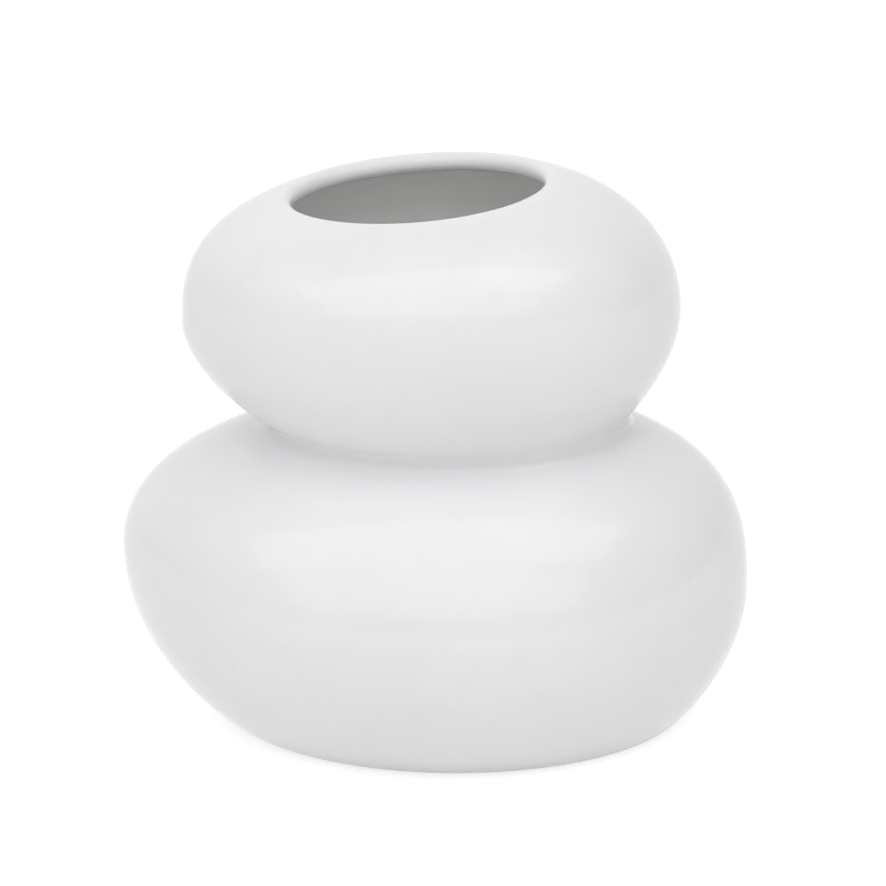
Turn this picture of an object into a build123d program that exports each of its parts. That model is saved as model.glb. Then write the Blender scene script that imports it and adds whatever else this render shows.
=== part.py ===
from build123d import *
from collections import namedtuple
from math import cos, hypot, pi
import os

# A vase of two glazed pebbles, the small one luted on the crown of the large one. The sizes are in
# millimetres. The foot stands on Z = 0, +X runs along the length, and the mouth dips to the left, at -X.

# Both pebbles, and how far a cut runs past what it cuts
WALL = 6.0
OVERRUN = 25.0

# Lower pebble: its widest outline, and the height of the widest point at each end and at the front
BELLY_LENGTH = 210.0
BELLY_DEPTH = 159.0
BELLY_LEFT_HEIGHT = 61.0
BELLY_RIGHT_HEIGHT = 46.0
BELLY_FRONT_HEIGHT = 53.0

# Foot under the lower pebble
FOOT_LEFT_REACH = 70.0
FOOT_RIGHT_REACH = 84.0
FOOT_DEPTH = 111.0
FOOT_ROUND = 1.5
FOOT_RING_WIDTH = 9.0
FOOT_RECESS = 2.0

# Inside of the lower pebble
FLOOR_ROUND = 10.0

# Seat that is cut flat across the crown of the lower pebble
SEAT_HEIGHT = 103.5
SEAT_LEFT_REACH = 53.5
SEAT_RIGHT_REACH = 61.0
SEAT_DEPTH = 78.5
SEAT_LAND = 5.0

# Slip and clay of the joint
SLIP_BED = 0.8
COIL_DROP = 2.2
COIL_REACH = 3.6
COIL_WAIST = 1.9
COIL_WAIST_RISE = 1.0
COIL_RISE = 4.0
COIL_TOP_REACH = 2.4
INNER_COIL_REACH = 1.6
INNER_COIL_EDGE = 0.5
INNER_COIL_HEIGHT = 7.0

# Upper pebble: its widest outline, the rise of its widest points and its top above the seat
HEAD_LENGTH = 164.5
HEAD_DEPTH = 126.0
HEAD_SHIFT = -1.5
HEAD_LEFT_RISE = 38.0
HEAD_RIGHT_RISE = 39.5
HEAD_FRONT_RISE = 52.0
HEAD_TOP_RISE = 87.0

# Mouth, and how far the top dips from the right end of the mouth to the left end
MOUTH_LENGTH = 84.0
MOUTH_DEPTH = 66.0
MOUTH_SHIFT = -6.0
TOP_DROP = 7.2

# How much of the wall each edge of the lip is rounded by
LIP_ROUND_SHARE = 0.43

# Fullness of the outlines: 2 is an ellipse, less is straighter, more is squarer
BELLY_LEFT_FULLNESS = 1.9
BELLY_RIGHT_FULLNESS = 1.85
BELLY_FRONT_FULLNESS = 2.25
CROWN_LEFT_FULLNESS = 2.15
CROWN_RIGHT_FULLNESS = 2.75
CROWN_FRONT_FULLNESS = 1.85
NECK_LEFT_FULLNESS = 1.7
NECK_RIGHT_FULLNESS = 1.65
NECK_FRONT_FULLNESS = 2.05
SHOULDER_LEFT_FULLNESS = 2.6
SHOULDER_RIGHT_FULLNESS = 2.25
SHOULDER_FRONT_FULLNESS = 2.15

# Sections of a pebble, and how far up to its top the last one of the upper pebble stands
SECTION_COUNT = 13
ROOF_SHARE = 0.985

SEAT_TOP = SEAT_HEIGHT + SLIP_BED
TOP_HEIGHT = SEAT_HEIGHT + HEAD_TOP_RISE
FLOOR_HEIGHT = FOOT_RECESS + WALL
LIP_ROUND = WALL * LIP_ROUND_SHARE
LEAN = TOP_DROP / MOUTH_LENGTH

# One side of a pebble: its widest reach from the middle, and the two quarter arcs that meet there
Arc = namedtuple("Arc", "reach height fullness")
Side = namedtuple("Side", "reach height low high")
Pebble = namedtuple("Pebble", "middle left right front bottom top")


def half_width(side, height):
    """Reach of a side at a height: a superellipse quarter from the widest point to the arc's end."""
    end = side.low if height < side.height else side.high
    way = (height - side.height) / (end.height - side.height)
    drawn_in = (1 - (end.reach / side.reach) ** end.fullness) * way ** end.fullness
    return side.reach * (1 - drawn_in) ** (1 / end.fullness)


def oval(left, right, depth, height, middle=0, lean=0):
    """Elliptical face between two ends, level or leaning along X about the middle of the mouth."""
    centre = middle + (right - left) / 2
    half_length = (left + right) / 2 * hypot(1, lean)
    origin = (centre, 0, height + lean * (centre - MOUTH_SHIFT))
    return Plane(origin=origin, x_dir=(1, 0, lean), z_dir=(-lean, 0, 1)) * Ellipse(half_length, depth / 2)


def pebble_solid(pebble):
    """Loft through sections that lie closer together towards the bottom and the top."""
    sections = []
    for index in range(SECTION_COUNT):
        share = (1 - cos(pi * index / (SECTION_COUNT - 1))) / 2
        height = pebble.bottom + (pebble.top - pebble.bottom) * share
        rise_share = max(height - SEAT_TOP, 0) / (TOP_HEIGHT - SEAT_TOP)
        sections.append(oval(
            half_width(pebble.left, height),
            half_width(pebble.right, height),
            half_width(pebble.front, height) * 2,
            height,
            pebble.middle,
            LEAN * rise_share ** 3,
        ))
    return loft(sections)


def lower_pebble_form(wall, bottom):
    """Outside of the lower pebble, or its inside when a wall is taken off."""
    top = SEAT_HEIGHT - wall
    left = Side(
        BELLY_LENGTH / 2 - wall,
        BELLY_LEFT_HEIGHT,
        Arc(FOOT_LEFT_REACH, bottom, BELLY_LEFT_FULLNESS),
        Arc(SEAT_LEFT_REACH, top, CROWN_LEFT_FULLNESS),
    )
    right = Side(
        BELLY_LENGTH / 2 - wall,
        BELLY_RIGHT_HEIGHT,
        Arc(FOOT_RIGHT_REACH, bottom, BELLY_RIGHT_FULLNESS),
        Arc(SEAT_RIGHT_REACH, top, CROWN_RIGHT_FULLNESS),
    )
    front = Side(
        BELLY_DEPTH / 2 - wall,
        BELLY_FRONT_HEIGHT,
        Arc(FOOT_DEPTH / 2, bottom, BELLY_FRONT_FULLNESS),
        Arc(SEAT_DEPTH / 2, top, CROWN_FRONT_FULLNESS),
    )
    return pebble_solid(Pebble(0, left, right, front, bottom, top))


def upper_pebble_form(wall):
    """Outside of the upper pebble with its top still closed, or its inside when a wall is taken off."""
    bottom = SEAT_TOP + wall
    apex = TOP_HEIGHT - wall
    left = Side(
        HEAD_LENGTH / 2 - wall,
        SEAT_HEIGHT + HEAD_LEFT_RISE,
        Arc(SEAT_LEFT_REACH + HEAD_SHIFT, bottom, NECK_LEFT_FULLNESS),
        Arc(0, apex, SHOULDER_LEFT_FULLNESS),
    )
    right = Side(
        HEAD_LENGTH / 2 - wall,
        SEAT_HEIGHT + HEAD_RIGHT_RISE,
        Arc(SEAT_RIGHT_REACH - HEAD_SHIFT, bottom, NECK_RIGHT_FULLNESS),
        Arc(0, apex, SHOULDER_RIGHT_FULLNESS),
    )
    front = Side(
        HEAD_DEPTH / 2 - wall,
        SEAT_HEIGHT + HEAD_FRONT_RISE,
        Arc(SEAT_DEPTH / 2, bottom, NECK_FRONT_FULLNESS),
        Arc(0, apex, SHOULDER_FRONT_FULLNESS),
    )
    top = bottom + (apex - bottom) * ROOF_SHARE
    return pebble_solid(Pebble(HEAD_SHIFT, left, right, front, bottom, top))


def seat_oval(height, outset=0):
    """Face with the outline of the seat, at a height, grown all round by an outset."""
    return oval(
        SEAT_LEFT_REACH + outset,
        SEAT_RIGHT_REACH + outset,
        SEAT_DEPTH + 2 * outset,
        height,
    )


def foot_oval(height, inset):
    """Face with the outline of the foot, at a height, drawn in all round by an inset."""
    return oval(FOOT_LEFT_REACH - inset, FOOT_RIGHT_REACH - inset, FOOT_DEPTH - 2 * inset, height)


def passage():
    """Upright oval way between the two hollows, inside the lands of the seat."""
    return extrude(seat_oval(SEAT_HEIGHT - OVERRUN, -SEAT_LAND), 2 * OVERRUN)


def lower_pebble():
    """Cast shell with a dished underside, a foot ring, a rounded inside floor and a flat seat."""
    form = lower_pebble_form(0, 0)
    foot_edge = form.edges().group_by(Axis.Z)[0]
    form = fillet(foot_edge, FOOT_ROUND)
    hollow = lower_pebble_form(WALL, FLOOR_HEIGHT)
    floor_edge = hollow.edges().group_by(Axis.Z)[0]
    hollow = fillet(floor_edge, FLOOR_ROUND)
    dish = loft([foot_oval(0, FOOT_RING_WIDTH), foot_oval(FOOT_RECESS, FOOT_RING_WIDTH + FOOT_RECESS)])
    return form - hollow - passage() - dish


def upper_pebble():
    """Cast shell with a flat seat below and a leaning oval mouth with a rounded lip."""
    form = upper_pebble_form(0)
    hollow = upper_pebble_form(WALL)
    half_mouth = MOUTH_LENGTH / 2
    mouth = oval(half_mouth, half_mouth, MOUTH_DEPTH, SEAT_HEIGHT + HEAD_FRONT_RISE, MOUTH_SHIFT)
    shell = form - hollow - passage() - extrude(mouth, HEAD_TOP_RISE)
    lip_height = shell.bounding_box().max.Z - WALL
    bore = shell.faces().sort_by_distance((MOUTH_SHIFT, 0, lip_height))[0]
    rims = bore.edges().filter_by(GeomType.LINE, reverse=True)
    return fillet(rims, LIP_ROUND)


def slip_bed():
    """Thin layer of slip between the two seats."""
    return extrude(seat_oval(SEAT_HEIGHT) - seat_oval(SEAT_HEIGHT, -SEAT_LAND), SLIP_BED)


def crease_coil():
    """Soft clay pressed into the crease: wide on the lower pebble, hollowed, then in under the upper one."""
    ring = loft([
        seat_oval(SEAT_HEIGHT - COIL_DROP, COIL_REACH),
        seat_oval(SEAT_HEIGHT + COIL_WAIST_RISE, COIL_WAIST),
        seat_oval(SEAT_HEIGHT + COIL_RISE, COIL_TOP_REACH),
    ])
    crown = split(lower_pebble_form(0, 0), Plane.XY.offset(SEAT_HEIGHT - OVERRUN), keep=Keep.TOP)
    neck = split(upper_pebble_form(0), Plane.XY.offset(SEAT_HEIGHT + OVERRUN), keep=Keep.BOTTOM)
    bed = extrude(seat_oval(SEAT_HEIGHT), SLIP_BED)
    return ring - crown - neck - bed


def inner_seam_coil():
    """Low roll of clay that covers the joint on the inside."""
    bottom = SEAT_HEIGHT + SLIP_BED / 2 - INNER_COIL_HEIGHT / 2
    ring = extrude(seat_oval(bottom, -SEAT_LAND), INNER_COIL_HEIGHT)
    bore = loft([
        seat_oval(bottom, -SEAT_LAND - INNER_COIL_EDGE),
        seat_oval(bottom + INNER_COIL_HEIGHT / 2, -SEAT_LAND - INNER_COIL_REACH),
        seat_oval(bottom + INNER_COIL_HEIGHT, -SEAT_LAND - INNER_COIL_EDGE),
    ])
    return ring - bore


PIECES = (lower_pebble, upper_pebble, slip_bed, crease_coil, inner_seam_coil)

os.makedirs("parts", exist_ok=True)
for piece in PIECES:
    export_step(piece(), "parts/" + piece.__name__ + ".step")
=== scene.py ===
from collections import namedtuple
from math import cos, pi, radians, sin

import bpy
import numpy as np
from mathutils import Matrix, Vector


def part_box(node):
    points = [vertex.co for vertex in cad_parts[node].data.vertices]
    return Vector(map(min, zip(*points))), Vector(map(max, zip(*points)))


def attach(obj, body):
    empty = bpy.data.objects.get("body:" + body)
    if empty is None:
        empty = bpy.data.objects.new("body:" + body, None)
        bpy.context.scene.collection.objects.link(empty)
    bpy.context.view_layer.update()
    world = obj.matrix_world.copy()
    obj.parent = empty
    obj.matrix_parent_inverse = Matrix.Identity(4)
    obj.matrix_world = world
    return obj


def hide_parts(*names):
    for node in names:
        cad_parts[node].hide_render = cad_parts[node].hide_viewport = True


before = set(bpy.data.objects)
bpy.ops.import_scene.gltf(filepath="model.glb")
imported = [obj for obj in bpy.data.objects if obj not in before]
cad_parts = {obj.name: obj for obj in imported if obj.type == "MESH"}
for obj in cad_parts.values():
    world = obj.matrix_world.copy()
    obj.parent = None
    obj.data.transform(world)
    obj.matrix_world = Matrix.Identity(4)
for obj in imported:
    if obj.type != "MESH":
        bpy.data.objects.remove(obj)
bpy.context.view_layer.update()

# A white glazed vase of two pebbles, the small one luted on the crown of the large one. Lengths are in
# metres, written in millimetres where they are given. The foot stands on Z = 0 and the mouth dips at -X.
MM = 0.001

# Seat between the pebbles, read from the slip that lies in it
SLIP_LOW, SLIP_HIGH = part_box("slip_bed")
SEAT_BOTTOM, SEAT_TOP = SLIP_LOW.z, SLIP_HIGH.z
SEAT_LEFT, SEAT_RIGHT, SEAT_FRONT = -SLIP_LOW.x, SLIP_HIGH.x, SLIP_HIGH.y
SEAT_LAND = 5 * MM
WALL = 6 * MM

# Lower pebble
BELLY_REACH = 105 * MM
BELLY_FRONT = 79.5 * MM
FOOT_LEFT, FOOT_RIGHT, FOOT_FRONT = 70 * MM, 84 * MM, 55.5 * MM
FOOT_RING_WIDTH = 9 * MM
FOOT_RECESS = 2 * MM
FOOT_ROUND = 2.2 * MM
FLOOR_HEIGHT = FOOT_RECESS + WALL
FLOOR_ROUND = 16 * MM

# Upper pebble
HEAD_REACH = 82.25 * MM
HEAD_FRONT = 63 * MM
HEAD_SHIFT = -1.5 * MM
HEAD_APEX = SEAT_BOTTOM + 87 * MM

# Mouth: the crest of its lip, seen from above, and how much it leans along X
MOUTH_SHIFT = -6 * MM
MOUTH_REACH = 42 * MM
MOUTH_FRONT = 33 * MM
MOUTH_HEIGHT = SEAT_BOTTOM + 82.8 * MM
MOUTH_DROP = 6.2 * MM
LIP_RADIUS = WALL / 2
LEAN = MOUTH_DROP / (2 * MOUTH_REACH)

# Clay of the joint: how far the cove reaches out on the lower and the upper pebble, how much wider it is at
# the two ends of the crease, and the roll inside
COVE_LOW_REACH = 3.0 * MM
COVE_HIGH_REACH = 2.6 * MM
COVE_END_SHARE = 0.5
ROLL_HEIGHT = 7 * MM
ROLL_REACH = 1.6 * MM

# Share of a quarter arc over which its widest point is eased, so that the glaze shows no line there
EASE_SHARE = 0.16

# Points round each ring, rows up the outside of a pebble, and the least angle that shows as an edge
COLUMNS = 256
AROUND = np.arange(COLUMNS) * (2 * pi / COLUMNS)
OUTSIDE_ROWS = 120
EDGE_ANGLE = radians(50)

# Glaze: how far it pools and is painted darker as crease shade below and above the crease, where it thins on
# the lip below the crest, and where it ends above the foot
POOL_AND_SHADE_BELOW = 2.5 * MM
POOL_AND_SHADE_ABOVE = 3.0 * MM
THIN_FROM = 2.6 * MM
THIN_TO = 0.6 * MM
GLAZE_END = 0.5 * MM
GLAZE_FULL = 1.1 * MM
GLAZE_END_WANDER = 1.2 * MM

# Studio: half the table top, and the camera that the photograph's outline was fitted with
TABLE_HALF = 3.0
CAMERA_ELEVATION = radians(22)
CAMERA_DISTANCE = 1.5
CAMERA_AIM_X = 2.4 * MM
CAMERA_AIM_Z = 95.5 * MM
SENSOR_WIDTH = 36.0
FOCAL_PIXELS = 4500
PICTURE_PIXELS = 886

# One side of a pebble: its widest reach and the height of it, then the low and the high quarter arc
Arc = namedtuple("Arc", "reach height fullness")
Side = namedtuple("Side", "reach height low high")
Pebble = namedtuple("Pebble", "middle left right front bottom top lean")

LOWER = Pebble(
    0.0,
    Side(BELLY_REACH, 61 * MM, Arc(FOOT_LEFT, 0.0, 1.9), Arc(SEAT_LEFT, SEAT_BOTTOM, 2.15)),
    Side(BELLY_REACH, 46 * MM, Arc(FOOT_RIGHT, 0.0, 1.85), Arc(SEAT_RIGHT, SEAT_BOTTOM, 2.75)),
    Side(BELLY_FRONT, 53 * MM, Arc(FOOT_FRONT, 0.0, 2.25), Arc(SEAT_FRONT, SEAT_BOTTOM, 1.85)),
    0.0, SEAT_BOTTOM, 0.0,
)
UPPER = Pebble(
    HEAD_SHIFT,
    Side(HEAD_REACH, SEAT_BOTTOM + 38 * MM,
         Arc(SEAT_LEFT + HEAD_SHIFT, SEAT_TOP, 1.7), Arc(0.0, HEAD_APEX, 2.6)),
    Side(HEAD_REACH, SEAT_BOTTOM + 39.5 * MM,
         Arc(SEAT_RIGHT - HEAD_SHIFT, SEAT_TOP, 1.65), Arc(0.0, HEAD_APEX, 2.25)),
    Side(HEAD_FRONT, SEAT_BOTTOM + 52 * MM,
         Arc(SEAT_FRONT, SEAT_TOP, 2.05), Arc(0.0, HEAD_APEX, 2.15)),
    SEAT_TOP, HEAD_APEX, LEAN,
)


def quarter(side, arc, height):
    """Reach of a side that follows one quarter arc.

    way is the distance from the widest height as a share of the arc's height. The reach is the widest reach
    times (1 - k * eased(way)) to the power 1/n, where n is the fullness, k makes the arc end at its own
    reach, and eased is way to the power n, rounded near zero so that the curve has no kink there.
    """
    n = arc.fullness
    way = np.minimum(np.abs((height - side.height) / (arc.height - side.height)), 1.0)
    start, finish = EASE_SHARE ** n, (1 + EASE_SHARE ** 2) ** (n / 2)
    eased = ((way ** 2 + EASE_SHARE ** 2) ** (n / 2) - start) / (finish - start)
    drawn_in = 1 - (arc.reach / side.reach) ** n
    return side.reach * np.maximum(1 - drawn_in * eased, 0.0) ** (1 / n)


def reach(side, height):
    """Reach of a side at each height: the low arc turns into the high arc by a smooth step at the middle."""
    spread = EASE_SHARE * (side.high.height - side.low.height)
    step = np.clip((height - side.height) / spread + 0.5, 0.0, 1.0)
    step = step ** 3 * (10 - 15 * step + 6 * step ** 2)
    return quarter(side, side.low, height) * (1 - step) + quarter(side, side.high, height) * step


def skin(pebble, height, around=AROUND):
    """Points of a pebble's outside: x = centre + half length * cos, y = half depth * sin at each height.

    The two ends and the front follow their own arcs. Towards the mouth each section tips along X by the
    lean times the cube of its share of the way up.
    """
    left, right, front = (reach(side, height) for side in (pebble.left, pebble.right, pebble.front))
    x = pebble.middle + (right - left) / 2 + (left + right) / 2 * np.cos(around)
    y = front * np.sin(around)
    rise = (height - pebble.bottom) / (MOUTH_HEIGHT - pebble.bottom)
    z = height + pebble.lean * rise ** 3 * (x - MOUTH_SHIFT)
    return np.stack(np.broadcast_arrays(x, y, z), axis=-1)


def unit(vectors):
    return vectors / np.linalg.norm(vectors, axis=-1, keepdims=True)


def outward(pebble, height):
    """Unit normal of a pebble's outside: the step round it crossed with the step up it."""
    nudge = 0.01 * MM
    up = skin(pebble, height + nudge) - skin(pebble, height - nudge)
    turn = 1e-4
    across = skin(pebble, height, AROUND + turn) - skin(pebble, height, AROUND - turn)
    return unit(np.cross(across, up))


def steepness(pebble, height):
    """Rise or fall of the outside for each length out: level part of its normal over upright part."""
    normal = outward(pebble, height)
    return np.hypot(normal[:, 0], normal[:, 1]) / np.abs(normal[:, 2])


def evenly(pebble, low, high, count):
    """Heights from low to high, one row each, at equal steps along the pebble's mean outline."""
    fine = low + (high - low) * np.linspace(0, 1, 1500)
    sides = (pebble.left, pebble.right, pebble.front)
    mean = np.mean([reach(side, fine) for side in sides], axis=0)
    length = np.concatenate([[0.0], np.cumsum(np.hypot(np.diff(mean), np.diff(fine)))])
    return np.interp(np.linspace(0, length[-1], count), length, fine)


def oval(left, right, front, height):
    """One level elliptical ring between two ends."""
    x = (right - left) / 2 + (left + right) / 2 * np.cos(AROUND)
    y = front * np.sin(AROUND)
    return np.stack(np.broadcast_arrays(x, y, height), axis=-1)


def seat_ring(height, outset=0.0):
    return oval(SEAT_LEFT + outset, SEAT_RIGHT + outset, SEAT_FRONT + outset, height)


def foot_ring(height, inset):
    return oval(FOOT_LEFT - inset, FOOT_RIGHT - inset, FOOT_FRONT - inset, height)


def straight(first, last, count):
    """Rings between two rings, in equal steps, without the two."""
    way = np.linspace(0, 1, count + 2)[1:-1, None, None]
    return first + (last - first) * way


def rounded(first, corner, last, count):
    """Rings from the first to the last along a parabola that is tangent to the lines to the corner ring."""
    way = np.linspace(0, 1, count)[:, None, None]
    return (1 - way) ** 2 * first + 2 * way * (1 - way) * corner + way ** 2 * last


def stacked(*bands):
    """Rows of several bands in one grid, with the share that each band's rows have of the inside glaze,
    painted lighter as bounced light.
    """
    rings = np.concatenate([rows for rows, share in bands])
    inside = np.concatenate([np.broadcast_to(share, len(rows)) for rows, share in bands])
    return rings, inside


def mouth_heights():
    """Height, for each column, at which the upper pebble's outside meets the crest of the lip.

    The crest lies over an ellipse one lip radius wider than the mouth. Each column is followed up until
    it crosses that ellipse, and the crossing is found between the two nearest of many steps.
    """
    lowest = SEAT_BOTTOM + 0.75 * (MOUTH_HEIGHT - SEAT_BOTTOM)
    steps = np.linspace(lowest, HEAD_APEX - 0.5 * MM, 2000)[:, None]
    points = skin(UPPER, steps)
    beyond = ((points[..., 0] - MOUTH_SHIFT) / (MOUTH_REACH + LIP_RADIUS)) ** 2
    beyond += (points[..., 1] / (MOUTH_FRONT + LIP_RADIUS)) ** 2 - 1
    after = np.argmax(beyond < 0, axis=0)
    column = np.arange(COLUMNS)
    share = beyond[after - 1, column] / (beyond[after - 1, column] - beyond[after, column])
    return steps[after - 1, 0] + share * (steps[after, 0] - steps[after - 1, 0])


def upper_rings():
    """Rows of the upper pebble: up the outside, over the lip, down the inside and back along the seat.

    The lip is a half circle about a line one lip radius inside the crest, in the plane of the outside's
    normal and the direction across the rim. The inside is the outside moved in by the wall along its normal.
    """
    crest = mouth_heights()
    levels = evenly(UPPER, SEAT_TOP, float(crest.mean()), OUTSIDE_ROWS)
    share = ((levels - SEAT_TOP) / (levels[-1] - SEAT_TOP))[:, None]
    heights = SEAT_TOP + (crest - SEAT_TOP) * share
    outside = skin(UPPER, heights)
    normal = outward(UPPER, heights)
    rim, rim_normal = outside[-1], normal[-1]
    along = unit(np.roll(rim, -1, axis=0) - np.roll(rim, 1, axis=0))
    inward = np.cross(rim_normal, along)
    angle = np.linspace(0, pi, 22)[1:-1, None, None]
    over_lip = np.clip(angle[:, 0, 0] / pi * 2 - 1, 0, 1)
    lip = rim - LIP_RADIUS * rim_normal + LIP_RADIUS * (rim_normal * np.cos(angle) + inward * np.sin(angle))
    inside = (outside - WALL * normal)[::-1]
    ledge = inside[-1]
    way_top = seat_ring(0.0, -SEAT_LAND)
    way_top[:, 2] = ledge[:, 2]
    way_bottom = seat_ring(SEAT_TOP, -SEAT_LAND)
    turn = rounded(ledge, way_top, (way_top + way_bottom) / 2, 8)[1:]
    land = straight(way_bottom, outside[0], 3)
    return stacked((outside, 0), (lip, over_lip), (inside, 1), (turn, 1), (way_bottom[None], 1), (land, 1))


def lower_rings():
    """Rows of the lower pebble: out over the dished underside, up the outside, in over the seat, down inside.

    The inside is the outside moved in by the wall along its normal, down to where the floor's round begins.
    """
    recess_edge = foot_ring(FOOT_RECESS, FOOT_RING_WIDTH + FOOT_RECESS)
    ring_inner = foot_ring(0.0, FOOT_RING_WIDTH)
    centre = recess_edge.mean(axis=0)
    dish = centre + (recess_edge - centre) * np.linspace(0.12, 0.94, 8)[:, None, None]
    step = (recess_edge + ring_inner) / 2
    fall = rounded(dish[-1], recess_edge, step, 6)[1:]
    brow = rounded(step, ring_inner, foot_ring(0.0, FOOT_RING_WIDTH - FOOT_RECESS), 6)[1:]
    stand = straight(brow[-1], foot_ring(0.0, FOOT_ROUND), 4)
    edge = rounded(foot_ring(0.0, FOOT_ROUND), skin(LOWER, 0.0), skin(LOWER, FOOT_ROUND), 8)
    heights = evenly(LOWER, FOOT_ROUND, SEAT_BOTTOM, OUTSIDE_ROWS)[:, None]
    outside = skin(LOWER, heights)
    normal = outward(LOWER, heights)
    way_top = seat_ring(SEAT_BOTTOM, -SEAT_LAND)
    land = straight(outside[-1], way_top, 3)
    kept = heights[:, 0] > FLOOR_ROUND
    inside = (outside - WALL * normal)[kept][::-1]
    way_bottom = seat_ring(0.0, -SEAT_LAND)
    way_bottom[:, 2] = inside[0, :, 2]
    turn = rounded((way_top + way_bottom) / 2, way_bottom, inside[0], 8)[:-1]
    end, run = inside[-1], inside[-1] - inside[-2]
    corner = end + run * ((FLOOR_HEIGHT - end[:, 2]) / run[:, 2])[:, None]
    middle = corner.mean(axis=0)
    floor_edge = middle + (corner - middle) * 0.72
    floor_round = rounded(end, corner, floor_edge, 20)[1:]
    floor = middle + (floor_edge - middle) * np.linspace(0.9, 0.1, 8)[:, None, None]
    return stacked(
        (dish, 0), (fall, 0), (brow, 0), (stand, 0), (edge[:-1], 0), (outside, 0),
        (land, 1), (way_top[None], 1), (turn, 1), (inside, 1), (floor_round, 1), (floor, 1),
    )


def cove_rings():
    """Rows of the clay in the crease: a hollow parabola from the lower to the upper pebble, then back inside.

    Its two ends lie on the pebbles, and its corner is the crease itself, so the hollow meets both smoothly.
    Its reach grows with the square of the cosine round the vase, towards the left and right ends.
    """
    way = np.linspace(0, 1, 6)[:, None]
    wider = 1 + COVE_END_SHARE * np.cos(AROUND) ** 2
    under = skin(LOWER, SEAT_BOTTOM - COVE_LOW_REACH * wider * steepness(LOWER, SEAT_BOTTOM) * (1 - way))
    over = skin(UPPER, SEAT_TOP + COVE_HIGH_REACH * wider * steepness(UPPER, SEAT_TOP) * way)
    hollow = rounded(under[0], seat_ring((SEAT_BOTTOM + SEAT_TOP) / 2), over[-1], 18)
    return stacked((hollow, 0), (over[-2::-1], 0), (under[:0:-1], 0))


def roll_rings():
    """Rows of the roll that covers the joint inside: half a flat ellipse that stands in from the passage."""
    middle = (SEAT_BOTTOM + SEAT_TOP) / 2
    angle = np.linspace(-pi / 2, pi / 2, 19)[::-1]
    inset = SEAT_LAND + ROLL_REACH * np.cos(angle)
    face = np.stack([
        seat_ring(middle + ROLL_HEIGHT / 2 * sin(turn), -draw) for turn, draw in zip(angle, inset)
    ])
    return stacked((face, 1), (straight(face[-1], face[0], 3), 1))


def placed(name, data):
    """Object for a mesh, a lamp or the camera, put in the scene at the origin."""
    made = bpy.data.objects.new(name, data)
    bpy.context.scene.collection.objects.link(made)
    return made


def piece(name, grid, looped, finish, node):
    """Mesh of a grid of rings that stands for a CAD node.

    Each ring closes on itself. A looped grid closes from its last ring to its first, and any other grid
    gets a middle point and a fan of triangles at each end. Each point keeps its share of the inside glaze,
    which is painted lighter as a stand-in for light bounced inside.
    """
    rings, share = grid
    rows, columns = rings.shape[:2]
    index = np.arange(rows * columns).reshape(rows, columns)
    lower = index if looped else index[:-1]
    upper = np.roll(index, -1, axis=0) if looped else index[1:]
    quads = np.stack([lower, np.roll(lower, -1, axis=1), np.roll(upper, -1, axis=1), upper], axis=-1)
    faces = quads.reshape(-1, 4).tolist()
    points = rings.reshape(-1, 3)
    shares = np.repeat(share, columns)
    if not looped:
        first, last = len(points), len(points) + 1
        points = np.concatenate([points, [rings[0].mean(axis=0), rings[-1].mean(axis=0)]])
        shares = np.concatenate([shares, share[[0, -1]]])
        opening, ending = index[0], index[-1]
        faces += np.stack([np.full(columns, first), np.roll(opening, -1), opening], axis=-1).tolist()
        faces += np.stack([ending, np.roll(ending, -1), np.full(columns, last)], axis=-1).tolist()
    mesh = bpy.data.meshes.new(name)
    mesh.from_pydata(points.tolist(), [], faces)
    mesh.polygons.foreach_set("use_smooth", np.ones(len(mesh.polygons), bool))
    mesh.set_sharp_from_angle(angle=EDGE_ANGLE)
    # The inside share marks where the glaze is painted lighter to stand in for light bounced inside the
    # hollows.
    mesh.attributes.new("inside", "FLOAT", "POINT").data.foreach_set("value", shares.astype(np.float32))
    mesh.materials.append(finish)
    made = placed(name, mesh)
    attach(made, "root")
    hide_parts(node)


class Amount:
    """A number that varies over a surface. Sums written with it add Math nodes to its recipe."""

    def __init__(self, recipe, socket):
        self.recipe = recipe
        self.socket = socket

    def sum(self, operation, first, second):
        return self.recipe.amount("ShaderNodeMath", {"operation": operation}, {0: first, 1: second}, "Value")

    def __add__(self, other):
        return self.sum("ADD", self, other)

    def __radd__(self, other):
        return self.sum("ADD", other, self)

    def __sub__(self, other):
        return self.sum("SUBTRACT", self, other)

    def __rsub__(self, other):
        return self.sum("SUBTRACT", other, self)

    def __mul__(self, other):
        return self.sum("MULTIPLY", self, other)

    def __rmul__(self, other):
        return self.sum("MULTIPLY", other, self)

    def __gt__(self, other):
        return self.sum("GREATER_THAN", self, other)

    def within(self, low, high):
        """0 at low and under, 1 at high and over, with a smooth step between. low may be the larger."""
        smooth = {"interpolation_type": "SMOOTHSTEP"}
        sockets = {"Value": self, "From Min": low, "From Max": high, "To Min": 0.0, "To Max": 1.0}
        return self.recipe.amount("ShaderNodeMapRange", smooth, sockets, "Result")


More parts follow.
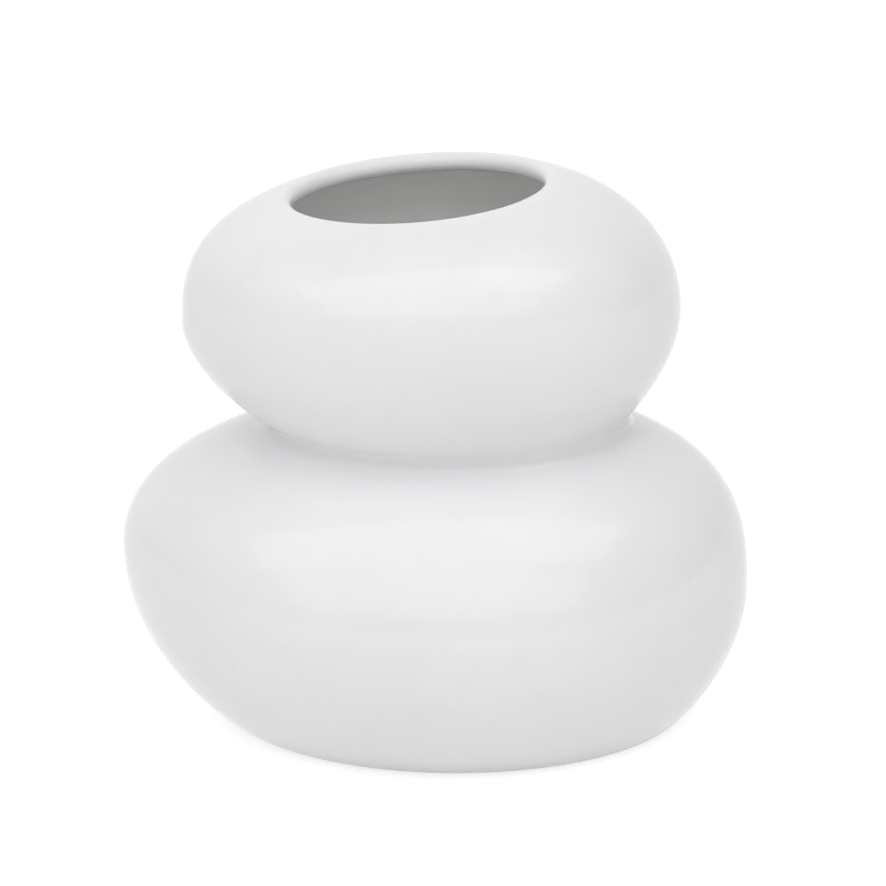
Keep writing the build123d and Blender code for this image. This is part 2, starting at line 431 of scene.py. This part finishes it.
class Recipe:
    """Node tree of one finish."""

    def __init__(self, tree):
        self.tree = tree
        tree.nodes.clear()

    def add(self, kind, settings, sockets):
        """One node: its settings first, then a value or a link for each socket."""
        node = self.tree.nodes.new(kind)
        for name, value in settings.items():
            setattr(node, name, value)
        for name, value in sockets.items():
            value = value.socket if isinstance(value, Amount) else value
            if isinstance(value, bpy.types.NodeSocket):
                self.tree.links.new(value, node.inputs[name])
            else:
                node.inputs[name].default_value = value
        return node

    def amount(self, kind, settings, sockets, output):
        return Amount(self, self.add(kind, settings, sockets).outputs[output])

    def coordinate(self, output):
        return self.add("ShaderNodeTexCoord", {}, {}).outputs[output]

    def axes(self, place, names):
        """The named axes of a place or a direction, such as XZ."""
        split = self.add("ShaderNodeSeparateXYZ", {}, {"Vector": place})
        return [Amount(self, split.outputs[name]) for name in names]

    def mixed(self, share, first, second, blend="MIX"):
        """Colour that goes from the first to the second as the share goes from 0 to 1, or adds the second."""
        settings = {"data_type": "RGBA", "blend_type": blend}
        return self.add("ShaderNodeMix", settings, {0: share, 6: first, 7: second}).outputs[2]


def colour(red, green, blue):
    return (red, green, blue, 1.0)


def finish_recipe(name):
    material = bpy.data.materials.new(name)
    material.use_nodes = True
    return material, Recipe(material.node_tree)


def gloss_glaze():
    """White gloss glaze: cloudy in tone, pooled and painted darker as shade in the crease, thin on the lip,
    painted lighter inside as a stand-in for bounced light, wiped off the foot ring.
    """
    material, recipe = finish_recipe("white_gloss_glaze")
    place = recipe.coordinate("Object")
    x, z = recipe.axes(place, "XZ")

    def noise(scale, detail, rough=0.5):
        sockets = {"Vector": place, "Scale": scale, "Detail": detail, "Roughness": rough}
        return recipe.amount("ShaderNodeTexNoise", {}, sockets, "Fac")

    cloud = noise(17.0, 3.0)
    mottle = noise(95.0, 2.0)
    peel = noise(420.0, 1.0)
    ragged = (noise(900.0, 3.0) - 0.5) * GLAZE_END_WANDER

    white = recipe.mixed(cloud.within(0.32, 0.68), colour(0.820, 0.821, 0.833), colour(0.846, 0.847, 0.857))
    white = recipe.mixed(mottle.within(0.55, 0.75) * 0.35, white, colour(0.805, 0.806, 0.819))

    crease = (SEAT_BOTTOM + SEAT_TOP) / 2
    # Painted shade: a darker, cooler band round the crease, partly glaze that pools there and partly shade
    # painted in where the crease is hidden from the light.
    pooled_and_shaded = z.within(crease - POOL_AND_SHADE_BELOW, crease) * z.within(crease + POOL_AND_SHADE_ABOVE, crease)
    white = recipe.mixed(pooled_and_shaded * 0.4, white, colour(0.738, 0.741, 0.752))

    crest = MOUTH_HEIGHT + (x - MOUTH_SHIFT) * LEAN
    thin = (z - crest).within(-THIN_FROM, -THIN_TO)
    white = recipe.mixed(thin * 0.5, white, colour(0.858, 0.852, 0.838))

    # Painted light: the inside gets a lighter white that stands in for light bounced round inside the
    # hollows.
    inside = recipe.amount("ShaderNodeAttribute", {"attribute_name": "inside"}, {}, "Fac")
    white = recipe.mixed(inside, white, colour(0.970, 0.966, 0.958))

    dots = recipe.add("ShaderNodeTexVoronoi", {}, {"Vector": place, "Scale": 42.0})
    near = Amount(recipe, dots.outputs["Distance"])
    chance = recipe.add("ShaderNodeSeparateColor", {}, {"Color": dots.outputs["Color"]})
    speck = near.within(0.030, 0.012) * (Amount(recipe, chance.outputs["Red"]) > 0.93)
    white = recipe.mixed(speck * 0.5, white, colour(0.42, 0.36, 0.29))

    bare = (z + ragged).within(GLAZE_FULL, GLAZE_END)
    grit = noise(1500.0, 2.0)
    clay = recipe.mixed(grit, colour(0.62, 0.56, 0.48), colour(0.76, 0.71, 0.63))
    body = recipe.mixed(bare, white, clay)

    gloss = 0.02 + cloud * 0.03 + mottle * 0.02
    rough = gloss * (1 - bare) + bare * 0.85

    skin_height = peel * 0.6 + mottle * 0.4 + bare * grit
    bump = recipe.add("ShaderNodeBump", {}, {"Strength": 0.02, "Distance": 0.25 * MM, "Height": skin_height})
    shader = recipe.add("ShaderNodeBsdfPrincipled", {}, {
        "Base Color": body, "Roughness": rough, "Normal": bump.outputs["Normal"], "IOR": 1.36,
    })
    recipe.add("ShaderNodeOutputMaterial", {}, {"Surface": shader.outputs["BSDF"]})
    return material


def fired_slip():
    """Bare fired slip: pale, dull and grainy."""
    material, recipe = finish_recipe("fired_slip")
    place = recipe.coordinate("Object")
    grain = recipe.amount("ShaderNodeTexNoise", {}, {"Vector": place, "Scale": 700.0, "Detail": 3.0}, "Fac")
    cloud = recipe.amount("ShaderNodeTexNoise", {}, {"Vector": place, "Scale": 40.0, "Detail": 2.0}, "Fac")
    tone = recipe.mixed(cloud.within(0.3, 0.7), colour(0.74, 0.70, 0.64), colour(0.81, 0.78, 0.73))
    tone = recipe.mixed(grain.within(0.5, 0.8) * 0.3, tone, colour(0.62, 0.57, 0.50))
    bump = recipe.add("ShaderNodeBump", {}, {"Strength": 0.3, "Distance": 0.2 * MM, "Height": grain})
    shader = recipe.add("ShaderNodeBsdfPrincipled", {}, {
        "Base Color": tone, "Roughness": 0.8 + grain * 0.15, "Normal": bump.outputs["Normal"],
    })
    recipe.add("ShaderNodeOutputMaterial", {}, {"Surface": shader.outputs["BSDF"]})
    return material


def studio_floor():
    """Plain white table top, seen a little lifted so that it stays white and keeps the vase's shadow."""
    corners = [(x * TABLE_HALF, y * TABLE_HALF, 0.0) for x, y in ((-1, -1), (1, -1), (1, 1), (-1, 1))]
    mesh = bpy.data.meshes.new("table_top")
    mesh.from_pydata(corners, [], [(0, 1, 2, 3)])
    material, recipe = finish_recipe("white_table_top")
    rays = recipe.add("ShaderNodeLightPath", {}, {})
    seen = Amount(recipe, rays.outputs["Is Camera Ray"])
    for kind in ("Is Glossy Ray", "Is Transmission Ray"):
        seen = seen + Amount(recipe, rays.outputs[kind])
    top = recipe.add("ShaderNodeBsdfDiffuse", {}, {"Color": colour(0.95, 0.95, 0.95)})
    shown = recipe.add("ShaderNodeBsdfDiffuse", {}, {"Color": colour(0.42, 0.42, 0.42)})
    lift = recipe.add("ShaderNodeEmission", {}, {"Color": colour(1.0, 1.0, 1.0), "Strength": 0.75})
    both = recipe.add("ShaderNodeAddShader", {}, {0: shown.outputs[0], 1: lift.outputs[0]})
    share = seen.within(0.0, 1.0)
    mix = recipe.add("ShaderNodeMixShader", {}, {0: share, 1: top.outputs[0], 2: both.outputs[0]})
    recipe.add("ShaderNodeOutputMaterial", {}, {"Surface": mix.outputs[0]})
    mesh.materials.append(material)
    placed("table_top", mesh)


def studio_world():
    """Soft surroundings: a pale ceiling that ends behind the vase, and pale walls on the left and behind."""
    world = bpy.data.worlds.new("studio")
    bpy.context.scene.world = world
    world.use_nodes = True
    recipe = Recipe(world.node_tree)
    x, y, z = recipe.axes(recipe.coordinate("Generated"), "XYZ")
    ceiling = z.within(0.1, 0.7) * y.within(0.21, 0.16)
    tone = colour(0.14, 0.14, 0.14)
    for share, level in ((ceiling, 0.32), (y.within(0.0, 0.9), 0.82), (x.within(0.0, -0.9), 0.28)):
        tone = recipe.mixed(share, tone, colour(level, level, level), "ADD")
    light = recipe.add("ShaderNodeBackground", {}, {"Color": tone, "Strength": 1.0})
    recipe.add("ShaderNodeOutputWorld", {}, {"Surface": light.outputs[0]})


# Name, direction from the vase in degrees round and up, distance, width, height, and level of each lamp
SOFTBOXES = (
    ("front_softbox", 0, 30, 1.1, 1.9, 0.62, 0.95),
    ("top_softbox", 0, 62, 1.1, 2.2, 0.55, 1.30),
    ("right_softbox", 58, 58, 1.1, 0.6, 0.7, 0.85),
)


def softbox(name, round_angle, up_angle, distance, width, height, level):
    """Large lamp that faces the vase. level is how bright its face looks, where 1 is white."""
    data = bpy.data.lights.new(name, "AREA")
    data.shape = "RECTANGLE"
    data.size, data.size_y = width, height
    data.energy = level * pi * width * height
    lamp = placed(name, data)
    turn, tilt = radians(round_angle), radians(up_angle)
    away = np.array([sin(turn) * cos(tilt), -cos(turn) * cos(tilt), sin(tilt)])
    lamp.location = away * distance + [0.0, 0.0, SEAT_BOTTOM]
    lamp.rotation_euler = (pi / 2 - tilt, 0.0, turn)


def camera():
    """Camera at the height and distance that the photograph was taken from."""
    data = bpy.data.cameras.new("camera")
    data.sensor_width = SENSOR_WIDTH
    data.lens = SENSOR_WIDTH * FOCAL_PIXELS / PICTURE_PIXELS
    made = placed("camera", data)
    back = CAMERA_DISTANCE * cos(CAMERA_ELEVATION)
    made.location = (CAMERA_AIM_X, -back, CAMERA_AIM_Z + CAMERA_DISTANCE * sin(CAMERA_ELEVATION))
    made.rotation_euler = (pi / 2 - CAMERA_ELEVATION, 0.0, 0.0)
    bpy.context.scene.camera = made


glaze, slip = gloss_glaze(), fired_slip()
piece("lower_shell", lower_rings(), False, glaze, "lower_pebble")
piece("upper_shell", upper_rings(), True, glaze, "upper_pebble")
piece("crease_cove", cove_rings(), True, glaze, "crease_coil")
piece("inner_roll", roll_rings(), True, glaze, "inner_seam_coil")
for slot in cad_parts["slip_bed"].material_slots:
    slot.material = slip

studio_floor()
studio_world()
for lamp in SOFTBOXES:
    softbox(*lamp)
camera()
bpy.context.scene.view_settings.view_transform = "Standard"
